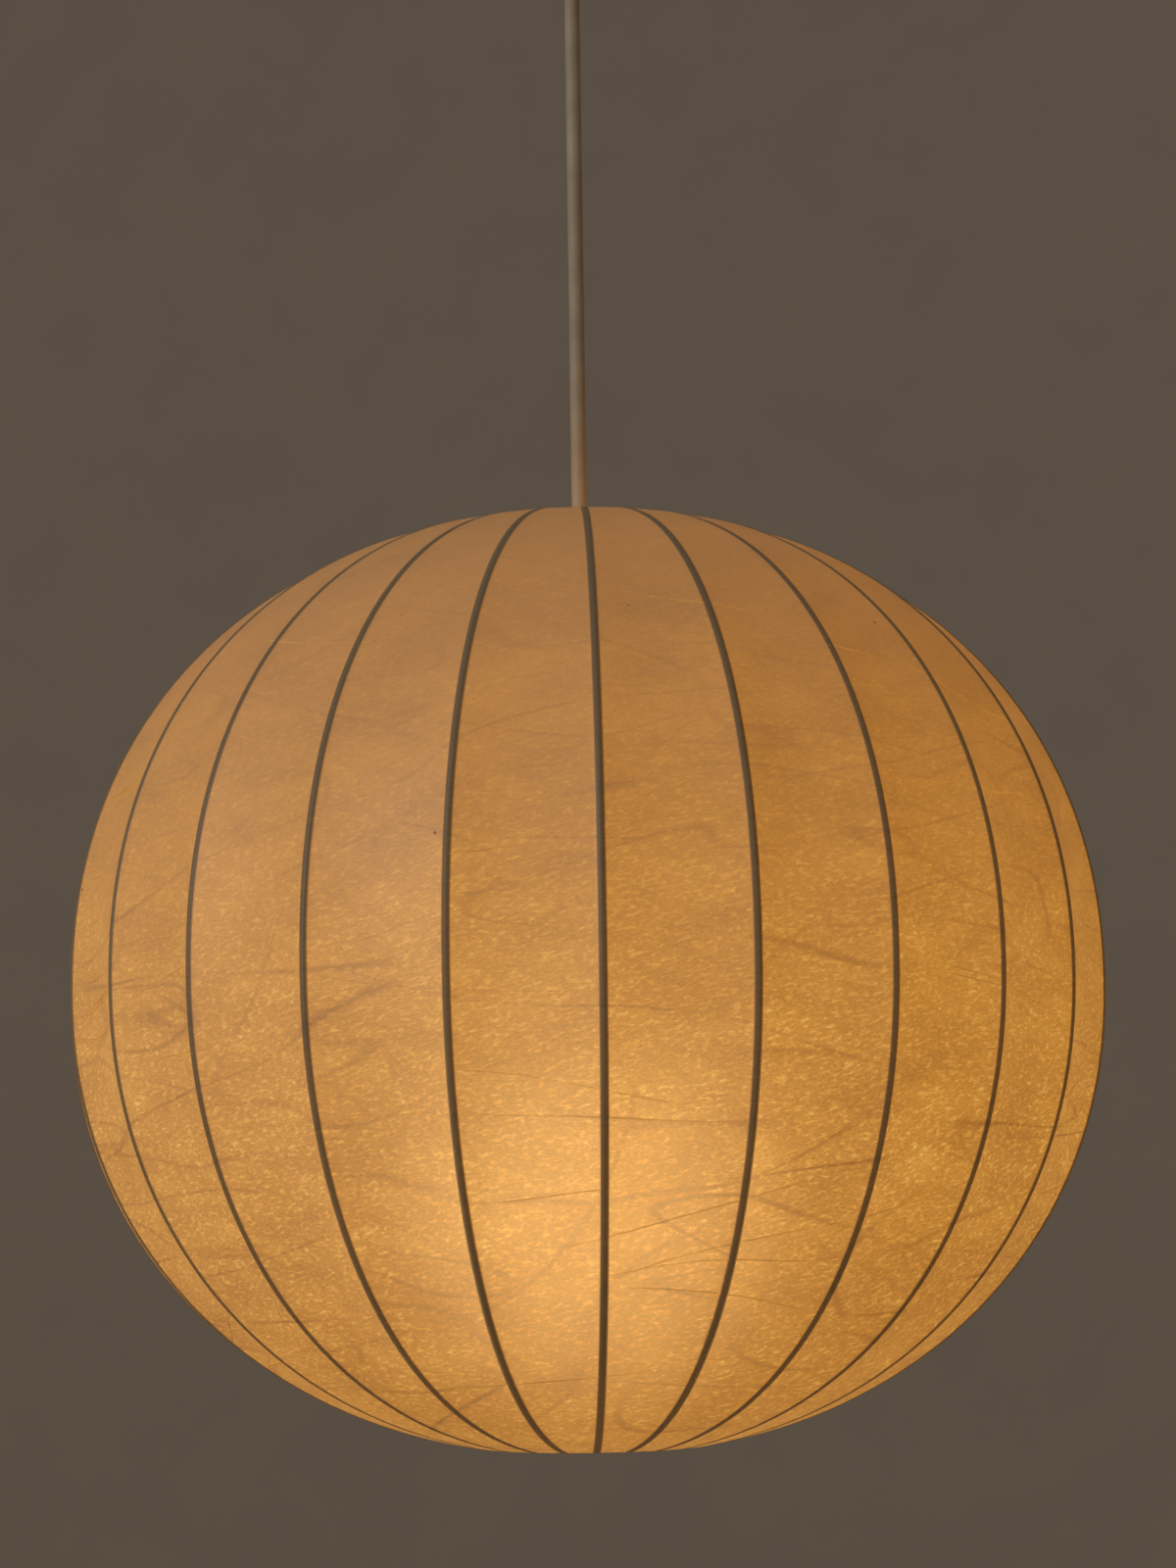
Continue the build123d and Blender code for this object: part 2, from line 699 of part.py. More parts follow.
with BuildPart() as canopy_bush:
    # The thread goes up through the canopy, and the bell mouth below leaves the cord room to swing.
    throat = cord_radius + cord_gap
    mouth_level = swing_level - bush_mouth_depth
    mouth_radius = (
        cord_radius / cos(radians(swing_limit))
        + bush_mouth_depth * tan(radians(swing_limit))
        + mouth_room
    )
    with BuildSketch(Plane.XZ):
        with BuildLine():
            Polyline(
                (throat, bush_top_level),
                (bush_thread_radius, bush_top_level),
                (bush_thread_radius, canopy_floor_level - touch),
                (bush_flange_radius, canopy_floor_level - touch),
                (bush_flange_radius, canopy_floor_level - bush_flange_height),
                (bush_body_radius, canopy_floor_level - bush_flange_height),
                (bush_body_radius, mouth_level),
                (mouth_radius, mouth_level),
                (throat, swing_level),
                close=True,
            )
        make_face()
    revolve(axis=Axis.Z)
    fillet(canopy_bush.edges().group_by(Axis.Z)[0], radius=bush_mouth_fillet)
write(canopy_bush, "canopy_bush")

with BuildPart() as bush_nut:
    hex_nut(canopy_floor_level + canopy_wall + touch, bush_nut_height, bush_thread_radius + thread_gap)
write(bush_nut, "bush_nut")

with BuildPart() as terminal_block:
    block_top_level = -bracket_thickness - touch
    barrel_level = block_top_level - block_height / 2
    barrel_places = [(side * barrel_spacing / 2, barrel_level) for side in (-1, 1)]
    screw_places = [
        (x, y)
        for x in (-barrel_spacing / 2, barrel_spacing / 2)
        for y in (-block_screw_spacing / 2, block_screw_spacing / 2)
    ]
    with BuildSketch(Plane.XY.offset(block_top_level - block_height)):
        Rectangle(block_length, block_width)
    extrude(amount=block_height)
    fillet(terminal_block.edges().filter_by(Axis.Z), radius=block_fillet)
    with BuildSketch(Plane.XZ):
        with Locations(*barrel_places):
            Circle(barrel_radius + touch)
    extrude(amount=block_width, both=True, mode=Mode.SUBTRACT)
    with BuildSketch(Plane.XY.offset(block_top_level - block_height)):
        with Locations(*screw_places):
            Circle(block_screw_radius + block_screw_gap)
    extrude(amount=block_height / 2, mode=Mode.SUBTRACT)
write(terminal_block, "terminal_block")

with BuildPart() as terminal_barrels:
    with BuildSketch(Plane.XZ):
        with Locations(*barrel_places):
            Circle(barrel_radius)
            Circle(barrel_bore_radius, mode=Mode.SUBTRACT)
    extrude(amount=barrel_length / 2, both=True)
    with BuildSketch(Plane.XY.offset(barrel_level)):
        with Locations(*screw_places):
            Circle(block_screw_radius + touch)
    extrude(amount=-barrel_radius - 1, mode=Mode.SUBTRACT)
write(terminal_barrels, "terminal_barrels")

with BuildPart() as terminal_screws:
    screw_foot = block_top_level - block_height + block_screw_sink
    with BuildSketch(Plane.XY.offset(screw_foot)):
        with Locations(*screw_places):
            Circle(block_screw_radius)
    extrude(amount=barrel_level - core_radius - touch - screw_foot)
    with BuildSketch(Plane.XY.offset(screw_foot)):
        with Locations(*screw_places):
            Rectangle(block_screw_slot_width, 3 * block_screw_radius)
    extrude(amount=block_screw_slot_depth, mode=Mode.SUBTRACT)
write(terminal_screws, "terminal_screws")

bend_reach = block_width / 2 + canopy_core_reach
for side, name in ((-1, "canopy_core_live"), (1, "canopy_core_neutral")):
    with BuildPart() as core:
        core_along(
            [
                (side * core_offset, 0, tail_top_level + touch),
                (side * core_offset, 0, tail_top_level + canopy_core_lead),
                (side * barrel_spacing / 2, bend_reach, barrel_level - canopy_core_dip),
                (side * barrel_spacing / 2, bend_reach, barrel_level),
                (side * barrel_spacing / 2, canopy_core_stop, barrel_level),
            ],
            canopy_core_bend_radius,
        )
    write(core, name)

# ---------------------------------------------------------------- cord
# It is one length of flex. The pointed ends at the swing level leave it room to bend there.
point_height = cord_radius * tan(radians(swing_limit + swing_room))

with BuildPart() as cord_clamp:
    with BuildSketch(Plane.XY.offset(clamp_level)):
        SlotOverall(clamp_length, clamp_width)
        Circle(cord_radius + touch, mode=Mode.SUBTRACT)
    extrude(amount=clamp_height)
    chamfer(cord_clamp.faces().sort_by(Axis.Z)[-1].outer_wire().edges(), length=clamp_chamfer)
write(cord_clamp, "cord_clamp")

with BuildPart() as cord_tail:
    with BuildSketch(Plane.XZ):
        with BuildLine():
            Polyline(
                (0, swing_level),
                (cord_radius, swing_level + point_height),
                (cord_radius, tail_top_level),
                (0, tail_top_level),
                close=True,
            )
        make_face()
    revolve(axis=Axis.Z)
write(cord_tail, "cord_tail")

with BuildPart() as cord:
    with BuildSketch(Plane.XZ):
        with BuildLine():
            Polyline(
                (0, swing_level),
                (cord_radius, swing_level - point_height),
                (cord_radius, grip_top_level),
                (0, grip_top_level),
                close=True,
            )
        make_face()
    revolve(axis=Axis.Z)
write(cord, "cord")
hanging_length = swing_level - grip_top_level
print(f"cord: one straight run of {hanging_length:.1f} mm, with no bends")
print(f"cord: volume {cord.part.volume:.0f}, section x length {pi * cord_radius**2 * hanging_length:.0f}")

with BuildPart() as cord_in_stem:
    with BuildSketch(Plane.XY.offset(sheath_end_level)):
        Circle(cord_radius)
    extrude(amount=grip_top_level - sheath_end_level)
write(cord_in_stem, "cord_in_stem")
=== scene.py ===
"""Globe pendant lantern: the finish of every surface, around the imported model.

The globe's film, its strands and the flex are modelled here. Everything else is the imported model
with procedural materials. Metres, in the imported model's own frame: the origin is on the ceiling.
"""

import bpy
import json
import random
from math import atan2, cos, pi, radians, sin, sqrt

from mathutils import Matrix, Vector


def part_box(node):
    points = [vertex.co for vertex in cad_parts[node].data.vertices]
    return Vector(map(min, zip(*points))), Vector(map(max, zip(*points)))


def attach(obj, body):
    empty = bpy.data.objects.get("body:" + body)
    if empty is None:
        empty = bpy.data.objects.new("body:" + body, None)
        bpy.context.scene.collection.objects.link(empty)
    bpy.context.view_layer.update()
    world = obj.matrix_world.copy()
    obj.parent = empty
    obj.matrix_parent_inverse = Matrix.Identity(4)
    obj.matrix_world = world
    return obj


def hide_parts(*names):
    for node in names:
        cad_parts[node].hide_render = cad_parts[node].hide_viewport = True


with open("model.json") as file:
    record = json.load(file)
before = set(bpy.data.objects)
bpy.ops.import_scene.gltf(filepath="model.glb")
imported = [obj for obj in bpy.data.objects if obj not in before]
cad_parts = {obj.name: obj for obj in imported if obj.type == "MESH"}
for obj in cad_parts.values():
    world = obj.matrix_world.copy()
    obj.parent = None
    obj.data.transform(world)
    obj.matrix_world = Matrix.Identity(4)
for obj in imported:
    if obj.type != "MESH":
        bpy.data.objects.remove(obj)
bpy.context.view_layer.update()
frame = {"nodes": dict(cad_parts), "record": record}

shown_nodes = frame["nodes"]

# ---------------------------------------------------------------- sizes
equator_level = -0.5
globe_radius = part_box("film")[1][0]
crown_height = 0.194
base_depth = 0.1875
fullness = 2.13  # power of the outline's rounded curve: 2 is an ellipse
rib_count = 24
film_hollow_radius = 0.150  # of the arc that the film takes between two ribs
ring_inner_radius = 0.04825
bead_height = 0.00045  # the film's rise over a rib's wire
bead_half_width = 0.0021
hem_radius = 0.0036  # of the fold round the rings and the ribs' ends
hem_offset = 0.0004  # of the fold's centre, out from the outline's end
hem_steps = 9
hem_shade = 0.62  # painted shade: the share of the painted glow that shows through the doubled film
film_rows = 250
wobble_height = 0.2  # over the widest level, where a gore's change of depth with height is whole
strand_count = 90
strand_thickness = 0.00055
strand_lift = 0.00005  # of a strand's middle off the even film
flex_diameter = 0.0064
flex_end_gap = 0.00005  # above the clamped stretch in the cord grip
flex_lead = 6 * flex_diameter  # from each end of the flex to its next point
filament_half_height = 0.0158
bulb_centre = Vector((0, 0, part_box("bulb_filament")[0][2] + filament_half_height))


# ---------------------------------------------------------------- node helpers
class Nodes:
    """A material's node tree, with short calls for the nodes that the materials here share."""

    def __init__(self, name):
        self.material = bpy.data.materials.new(name)
        self.material.use_nodes = True
        self.tree = self.material.node_tree
        self.shader = self.tree.nodes["Principled BSDF"]
        self.place = self.tree.nodes.new("ShaderNodeTexCoord").outputs["Object"]

    def link(self, source, target):
        self.tree.links.new(source, target)

    def feed(self, socket, value):
        """Links an output to a socket, or sets the socket's own value."""
        if isinstance(value, bpy.types.NodeSocket):
            self.link(value, socket)
        else:
            socket.default_value = value

    def scaled(self, scale, place=None):
        node = self.tree.nodes.new("ShaderNodeMapping")
        node.inputs["Scale"].default_value = scale
        self.link(place or self.place, node.inputs["Vector"])
        return node.outputs["Vector"]

    def turned(self, angles, scale, offset=(0, 0, 0)):
        node = self.tree.nodes.new("ShaderNodeMapping")
        node.inputs["Rotation"].default_value = angles
        node.inputs["Location"].default_value = offset
        self.link(self.place, node.inputs["Vector"])
        return self.scaled(scale, node.outputs["Vector"])

    def noise(self, place, scale, detail=2.0, roughness=0.5, distortion=0.0):
        node = self.tree.nodes.new("ShaderNodeTexNoise")
        node.inputs["Scale"].default_value = scale
        node.inputs["Detail"].default_value = detail
        node.inputs["Roughness"].default_value = roughness
        node.inputs["Distortion"].default_value = distortion
        self.link(place, node.inputs["Vector"])
        return node.outputs["Fac"]

    def voronoi(self, place, scale, feature="F1"):
        node = self.tree.nodes.new("ShaderNodeTexVoronoi")
        node.feature = feature
        node.inputs["Scale"].default_value = scale
        self.link(place, node.inputs["Vector"])
        return node

    def math(self, operation, a, b=0.0, c=0.0):
        node = self.tree.nodes.new("ShaderNodeMath")
        node.operation = operation
        for socket, value in zip(node.inputs, (a, b, c)):
            self.feed(socket, value)
        return node.outputs["Value"]

    def spread(self, value, low, high, to_low=0.0, to_high=1.0, smooth=False):
        """Maps value from low..high to to_low..to_high, clamped."""
        node = self.tree.nodes.new("ShaderNodeMapRange")
        node.interpolation_type = "SMOOTHSTEP" if smooth else "LINEAR"
        for name, number in (
            ("From Min", low), ("From Max", high), ("To Min", to_low), ("To Max", to_high)
        ):
            node.inputs[name].default_value = number
        self.link(value, node.inputs["Value"])
        return node.outputs["Result"]

    def ramp(self, value, stops):
        node = self.tree.nodes.new("ShaderNodeValToRGB")
        elements = node.color_ramp.elements
        while len(elements) < len(stops):
            elements.new(0.5)
        for element, (position, colour) in zip(elements, stops):
            element.position = position
            element.color = (*colour, 1)
        self.link(value, node.inputs["Fac"])
        return node.outputs["Color"]

    def blend(self, factor, a, b, kind="MIX"):
        node = self.tree.nodes.new("ShaderNodeMix")
        node.data_type = "RGBA"
        node.blend_type = kind
        self.feed(node.inputs[0], factor)
        for socket, value in ((node.inputs[6], a), (node.inputs[7], b)):
            self.feed(socket, value if isinstance(value, bpy.types.NodeSocket) else (*value, 1))
        return node.outputs[2]

    def attribute(self, name):
        node = self.tree.nodes.new("ShaderNodeAttribute")
        node.attribute_name = name
        return node.outputs["Fac"]

    def level(self):
        node = self.tree.nodes.new("ShaderNodeSeparateXYZ")
        self.link(self.place, node.inputs["Vector"])
        return node.outputs["Z"]

    def bump(self, height, distance, strength=1.0, under=None):
        node = self.tree.nodes.new("ShaderNodeBump")
        node.inputs["Strength"].default_value = strength
        node.inputs["Distance"].default_value = distance
        self.link(height, node.inputs["Height"])
        if under is not None:
            self.link(under, node.inputs["Normal"])
        return node.outputs["Normal"]

    def set(self, **values):
        """Sets or links the shader's sockets by name, with _ for a space."""
        for name, value in values.items():
            self.feed(self.shader.inputs[name.replace("_", " ")], value)


# ---------------------------------------------------------------- materials
def film_material():
    """Sprayed translucent film, lit from inside: mostly by a painted glow in its emission, a little by
    real light through its transmission; amber, grainy and crossed by strands.
    """
    n = Nodes("film")
    from_rib = n.attribute("from_rib")
    glow = n.attribute("glow")
    grain = n.noise(n.scaled((1, 1, 2.0)), 750, detail=3, roughness=0.6)
    flecks = n.noise(n.turned((0, 0.25, 0), (1, 1, 2.6)), 330, detail=2, roughness=0.55)
    clouds = n.noise(n.turned((0, 0.3, 0), (1, 1, 2.4)), 17, detail=3, roughness=0.6)
    drifts = n.noise(n.turned((0, -0.35, 0.4), (1, 1, 4.0)), 30, detail=2, roughness=0.5)

    # Each family of strands is where a slow, level-stretched noise passes through its middle.
    # A second noise fades each strand in and out. Each row gives a family's tilt, stretch, scale,
    # width, depth and shift.
    dark = None
    for tilt, stretch, scale, width, depth, shift in (
        (0.12, 6.0, 3.6, 0.010, 0.34, 0.0),
        (-0.22, 5.0, 4.6, 0.010, 0.28, 3.7),
        (0.34, 4.5, 5.2, 0.011, 0.26, 8.1),
        (-0.08, 7.0, 6.5, 0.016, 0.24, 12.9),
        (0.65, 2.2, 4.6, 0.006, 0.20, 21.3),
    ):
        place = n.turned((0, tilt, 0), (1, 1, stretch), (shift, shift * 0.7, shift * 0.3))
        wave = n.noise(place, scale, detail=1.0, roughness=0.3)
        away = n.math("ABSOLUTE", n.math("SUBTRACT", wave, 0.5))
        line = n.spread(away, 0.0, width, depth, 0.0, smooth=True)
        lasting = n.noise(n.turned((0, tilt, 0), (1, 1, 1), (-shift, shift, 0)), 16, detail=1.0)
        line = n.math("MULTIPLY", line, n.spread(lasting, 0.44, 0.60, 0.0, 1.0))
        dark = line if dark is None else n.math("MAXIMUM", dark, line)

    # Small specks of resin, mostly on the upper half.
    cells = n.voronoi(n.place, 85)
    near = n.spread(cells.outputs["Distance"], 0.035, 0.085, 1.0, 0.0, smooth=True)
    pick = n.tree.nodes.new("ShaderNodeSeparateColor")
    n.link(cells.outputs["Color"], pick.inputs["Color"])
    chosen = n.spread(pick.outputs["Red"], 0.18, 0.22, 1.0, 0.0)
    upper = n.spread(n.level(), equator_level - 0.05, equator_level + 0.06, 0.1, 1.0)
    specks = n.math("MULTIPLY", n.math("MULTIPLY", near, chosen), upper)

    # Painted shadow of each rib's wire: the painted glow is dimmed along the ribs, and the base colour
    # is darker along them too.
    rib = n.spread(from_rib, 0.0011, 0.0019, 1.0, 0.0, smooth=True)
    lower = n.spread(n.level(), equator_level - 0.06, equator_level + 0.12, 1.0, 0.35)
    grain_part = n.math("MULTIPLY", n.spread(grain, 0.3, 0.7, -0.18, 0.18), lower)
    fleck_part = n.math("MULTIPLY", n.spread(flecks, 0.5, 0.8, 0.0, 0.62), lower)
    cloud_part = n.spread(clouds, 0.3, 0.7, -0.10, 0.10)
    drift_part = n.math("MULTIPLY", n.spread(drifts, 0.45, 0.75, 0.0, 0.14), lower)
    fine = n.math("ADD", grain_part, fleck_part)
    texture = n.math("ADD", fine, n.math("ADD", cloud_part, drift_part))
    # The painted glow: the bulb's light through the film, painted as emission from the glow attribute,
    # with the film's grain, strands and specks in it.
    light = n.math("MULTIPLY", glow, n.math("ADD", texture, 0.97))
    light = n.math("MULTIPLY", light, n.math("SUBTRACT", 1.0, n.math("MULTIPLY", dark, lower)))
    light = n.math("MULTIPLY", light, n.math("SUBTRACT", 1.0, n.math("MULTIPLY", specks, 0.7)))
    light = n.math("MULTIPLY", light, n.math("SUBTRACT", 1.0, n.math("MULTIPLY", rib, 0.86)))
    colour = n.ramp(
        light,
        [
            (0.0, (0.0, 0.0, 0.0)),
            (0.30, (0.275, 0.095, 0.008)),
            (0.45, (0.425, 0.165, 0.016)),
            (0.57, (0.550, 0.245, 0.032)),
            (0.72, (0.700, 0.380, 0.080)),
            (1.0, (0.980, 0.700, 0.300)),
        ],
    )
    base = n.blend(rib, (0.36, 0.29, 0.19), (0.20, 0.18, 0.11))
    n.set(
        Base_Color=n.blend(specks, base, (0.16, 0.07, 0.03)),
        Roughness=n.spread(grain, 0.2, 0.8, 0.66, 0.82),
        Normal=n.bump(grain, 0.0002, 0.5, n.bump(flecks, 0.0006, 0.35)),
        Emission_Color=colour,
        Emission_Strength=1.0,
        Transmission_Weight=0.065,
        IOR=1.45,
        Coat_Weight=0.6,
        Coat_Roughness=0.45,
    )
    return n.material


def strand_material():
    """The thicker threads of the same film, with their share of the bulb's light painted on as
    emission.
    """
    n = Nodes("strand")
    shade = n.noise(n.place, 60, detail=2)
    n.set(
        Base_Color=n.ramp(shade, [(0.3, (0.34, 0.22, 0.10)), (0.7, (0.46, 0.32, 0.16))]),
        Roughness=0.5,
        Emission_Color=n.ramp(shade, [(0.3, (0.26, 0.11, 0.018)), (0.7, (0.40, 0.19, 0.035))]),
        Emission_Strength=1.0,
    )
    return n.material


def metal_material(name, colour, roughness, brushed=False):
    """Bare metal, with faint handling marks, or drawn lines along Z."""
    n = Nodes(name)
    stretch = (1, 1, 0.08) if brushed else (1, 1, 1)
    marks = n.noise(n.scaled(stretch), 900 if brushed else 160, detail=4)
    blotch = n.noise(n.place, 45, detail=3)
    darker = tuple(0.72 * c for c in colour)
    n.set(
        Base_Color=n.ramp(blotch, [(0.35, darker), (0.65, colour)]),
        Metallic=1.0,
        Roughness=n.spread(marks, 0.3, 0.7, roughness - 0.08, roughness + 0.12),
        Normal=n.bump(marks, 0.00008, 0.4),
    )
    return n.material


def paint_material(name, colour, roughness, peel=0.00006):
    """Paint or plastic with a slight orange peel and a little dust in patches."""
    n = Nodes(name)
    waves = n.noise(n.place, 420, detail=2)
    dust = n.noise(n.place, 38, detail=5, roughness=0.65)
    duller = tuple(0.82 * c for c in colour)
    n.set(
        Base_Color=n.ramp(dust, [(0.35, duller), (0.62, colour)]),
        Roughness=n.spread(dust, 0.3, 0.7, roughness + 0.12, roughness - 0.05),
        Normal=n.bump(waves, peel, 0.6),
    )
    return n.material


def flex_material():
    """Matt round flex with a fine drawn surface and a few darker smudges."""
    n = Nodes("flex")
    drawn = n.noise(n.scaled((1, 1, 0.05)), 1600, detail=3)
    smudge = n.noise(n.place, 60, detail=4)
    n.set(
        Base_Color=n.ramp(smudge, [(0.3, (0.52, 0.41, 0.27)), (0.7, (0.64, 0.52, 0.36))]),
        Roughness=n.spread(smudge, 0.3, 0.7, 0.62, 0.5),
        Normal=n.bump(drawn, 0.00008, 0.5),
    )
    return n.material


def glass_material():
    """Clear bulb glass."""
    n = Nodes("bulb_glass")
    haze = n.noise(n.place, 40, detail=3)
    n.set(
        Base_Color=n.ramp(haze, [(0.3, (1.0, 0.93, 0.80)), (0.7, (1.0, 0.97, 0.90))]),
        Roughness=n.spread(haze, 0.3, 0.7, 0.03, 0.07),
        Alpha=0.30,
        IOR=1.45,
    )
    return n.material


def filament_material():
    """The coating of a light-emitting stick."""
    n = Nodes("filament")
    dots = n.noise(n.place, 500, detail=1)
    n.set(
        Base_Color=n.ramp(dots, [(0.3, (0.9, 0.6, 0.2)), (0.7, (1.0, 0.75, 0.35))]),
        Roughness=0.6,
        Emission_Color=n.ramp(dots, [(0.3, (1.0, 0.62, 0.26)), (0.7, (1.0, 0.78, 0.45))]),
        Emission_Strength=14.0,
    )
    return n.material


def stage_material():
    """Plain matt paint."""
    n = Nodes("studio_paint")
    roller = n.noise(n.place, 9, detail=2)
    n.set(
        Base_Color=n.ramp(roller, [(0.2, (0.665, 0.575, 0.48)), (0.8, (0.71, 0.615, 0.51))]),
        Roughness=0.9,
    )
    return n.material


slot_materials = {
    "frame_wire": paint_material("frame_wire", (0.30, 0.23, 0.12), 0.45),
    "zinc_steel": metal_material("zinc_steel", (0.62, 0.62, 0.60), 0.38, brushed=True),
    "steel_screw": metal_material("steel_screw", (0.66, 0.66, 0.64), 0.30),
    "brass_fitting": metal_material("brass_fitting", (0.76, 0.56, 0.25), 0.32),
    "flex": flex_material(),
    "core_brown": paint_material("core_brown", (0.22, 0.10, 0.05), 0.5),
    "core_blue": paint_material("core_blue", (0.06, 0.16, 0.45), 0.5),
    "holder_plastic": paint_material("holder_plastic", (0.74, 0.71, 0.63), 0.28),
    "ceramic": paint_material("ceramic", (0.80, 0.78, 0.72), 0.55, peel=0.0001),
    "shell_metal": metal_material("shell_metal", (0.78, 0.70, 0.52), 0.30),
    "bulb_glass": glass_material(),
    "bulb_cap": metal_material("bulb_cap", (0.80, 0.80, 0.78), 0.28),
    "bulb_insulator": paint_material("bulb_insulator", (0.02, 0.02, 0.025), 0.2),
    "filament": filament_material(),
    "canopy_paint": paint_material("canopy_paint", (0.62, 0.57, 0.47), 0.42),
    "bush_plastic": paint_material("bush_plastic", (0.66, 0.62, 0.53), 0.4),
}
for row in frame["record"]["subparts"]:
    material = slot_materials.get(row["material_slot"])
    if material:
        mesh = shown_nodes[row["node"]].data
        mesh.materials.clear()
        mesh.materials.append(material)


# ---------------------------------------------------------------- the globe's film
def grid_faces(rows, across):
    """Four-sided faces between closed rows of points, with this many points in each row."""
    faces = []
    for row in range(rows - 1):
        for k in range(across):
            a, b = row * across + k, row * across + (k + 1) % across
            faces.append((a, b, b + across, a + across))
    return faces


def outline_point(elevation):
    """(radius, height over the widest level) of the globe's outline at this elevation."""
    across = cos(elevation) / globe_radius
    along = abs(sin(elevation)) / (crown_height if elevation > 0 else base_depth)
    reach = (across**fullness + along**fullness) ** (-1 / fullness)
    return reach * cos(elevation), reach * sin(elevation)


def end_elevation(upper):
    """Elevation at which the outline comes in to the ring."""
    half = crown_height if upper else base_depth
    share = (ring_inner_radius / globe_radius) ** fullness
    rise = half * (1 - share) ** (1 / fullness)
    return atan2(rise if upper else -rise, ring_inner_radius)


def hollow(radius, from_middle):
    """How far the film lies inside the outline, at this angle from a gore's middle."""
    half_gore = pi / rib_count
    chord_half = radius * sin(half_gore)
    arc_centre = radius * cos(half_gore) + sqrt(film_hollow_radius**2 - chord_half**2)
    across = sin(from_middle)
    along = cos(from_middle)
    reach = arc_centre * along - sqrt(film_hollow_radius**2 - (arc_centre * across) ** 2)
    return radius - reach


def glow_at(x, y, z):
    """How brightly the film's painted glow shines here, the bulb's light painted on as emission: most
    near the bulb's level, with a painted hot spot round the bulb, painted shade over the holder and
    less towards the bottom.
    """
    height = z - equator_level
    up = max(0.0, height / crown_height)
    down = max(0.0, -height / base_depth)
    to_bulb = (Vector((x, y, z)) - bulb_centre).length
    at_widest = 0.425
    # painted shade over the crown, where the holder stands between the bulb and the film
    crown_fade = 0.215 * up**1.05
    base_fade = 0.16 * max(0.0, down - 0.35) ** 1.3
    # painted pool of light on the film nearest the bulb
    hot_spot = 0.05 * (0.16 / to_bulb) ** 2
    return at_widest - crown_fade - base_fade + hot_spot


gore_stops = [0.0, 0.012, 0.024, 0.036, 0.050, 0.068, 0.092, 0.130, 0.190, 0.270, 0.370, 0.5]
gore_columns = gore_stops[:-1] + [1 - stop for stop in reversed(gore_stops[1:])]
columns = [2 * pi * (k + stop) / rib_count for k in range(rib_count) for stop in gore_columns]
low, high = end_elevation(False), end_elevation(True)
rows = [outline_point(low + (high - low) * i / film_rows) for i in range(film_rows + 1)]


def hem(point, upper):
    """The outline's last stretch, folded in round the ring, from its free edge outwards."""
    turn = 1 if upper else -1
    middle_radius = point[0] + hem_offset
    middle_height = point[1] - turn * hem_radius
    angles = [pi * i / hem_steps for i in range(hem_steps, 0, -1)]
    return [
        (middle_radius - hem_radius * sin(a), middle_height + turn * hem_radius * cos(a))
        for a in angles
    ]


def film_mesh():
    """One sheet: the outline turned round the axis, hollow between ribs, with a bead over each."""
    all_rows = hem(rows[0], False) + rows + hem(rows[-1], True)[::-1]
    hem_rows = len(hem(rows[0], False))
    rng = random.Random(5)
    wobble = [[rng.uniform(-1, 1) for _ in range(3)] for _ in range(rib_count)]
    points, ribs, glows = [], [], []
    for index, (radius, height) in enumerate(all_rows):
        inner = min(index, len(all_rows) - 1 - index) < hem_rows
        for angle in columns:
            place = angle * rib_count / (2 * pi)
            gore = int(place) % rib_count
            share = place - int(place)
            from_middle = (share - 0.5) * 2 * pi / rib_count
            from_rib = min(share, 1 - share) * 2 * pi / rib_count * radius
            depth = 0.0 if inner else hollow(radius, from_middle)
            amount, lean, slope = wobble[gore]
            depth *= (
                1
                + 0.10 * amount
                + 0.08 * lean * sin(2 * pi * share)
                + 0.10 * slope * height / wobble_height
            )
            rise = bead_height * max(0.0, 1 - (from_rib / bead_half_width) ** 2) ** 2
            out = radius - depth + (0.0 if inner else rise)
            x, y, z = out * cos(angle), out * sin(angle), equator_level + height
            points.append((x, y, z))
            ribs.append(from_rib)
            glows.append(glow_at(x, y, z) * (hem_shade if inner else 1.0))
    mesh = bpy.data.meshes.new("globe_film")
    mesh.from_pydata(points, [], grid_faces(len(all_rows), len(columns)))
    for name, values in (("from_rib", ribs), ("glow", glows)):
        layer = mesh.attributes.new(name, "FLOAT", "POINT")
        layer.data.foreach_set("value", values)
    mesh.shade_smooth()
    return mesh


film = bpy.data.objects.new("globe_film", film_mesh())
bpy.context.collection.objects.link(film)
film.data.materials.append(film_material())
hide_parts("film")
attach(film, "lamp")


# ---------------------------------------------------------------- the film's thicker strands
def film_radius(angle, elevation):
    """(radius, height) on the even film, without its beads and wobble, at this angle."""
    radius, height = outline_point(elevation)
    share = (angle * rib_count / (2 * pi)) % 1
    return radius - hollow(radius, (share - 0.5) * 2 * pi / rib_count), height


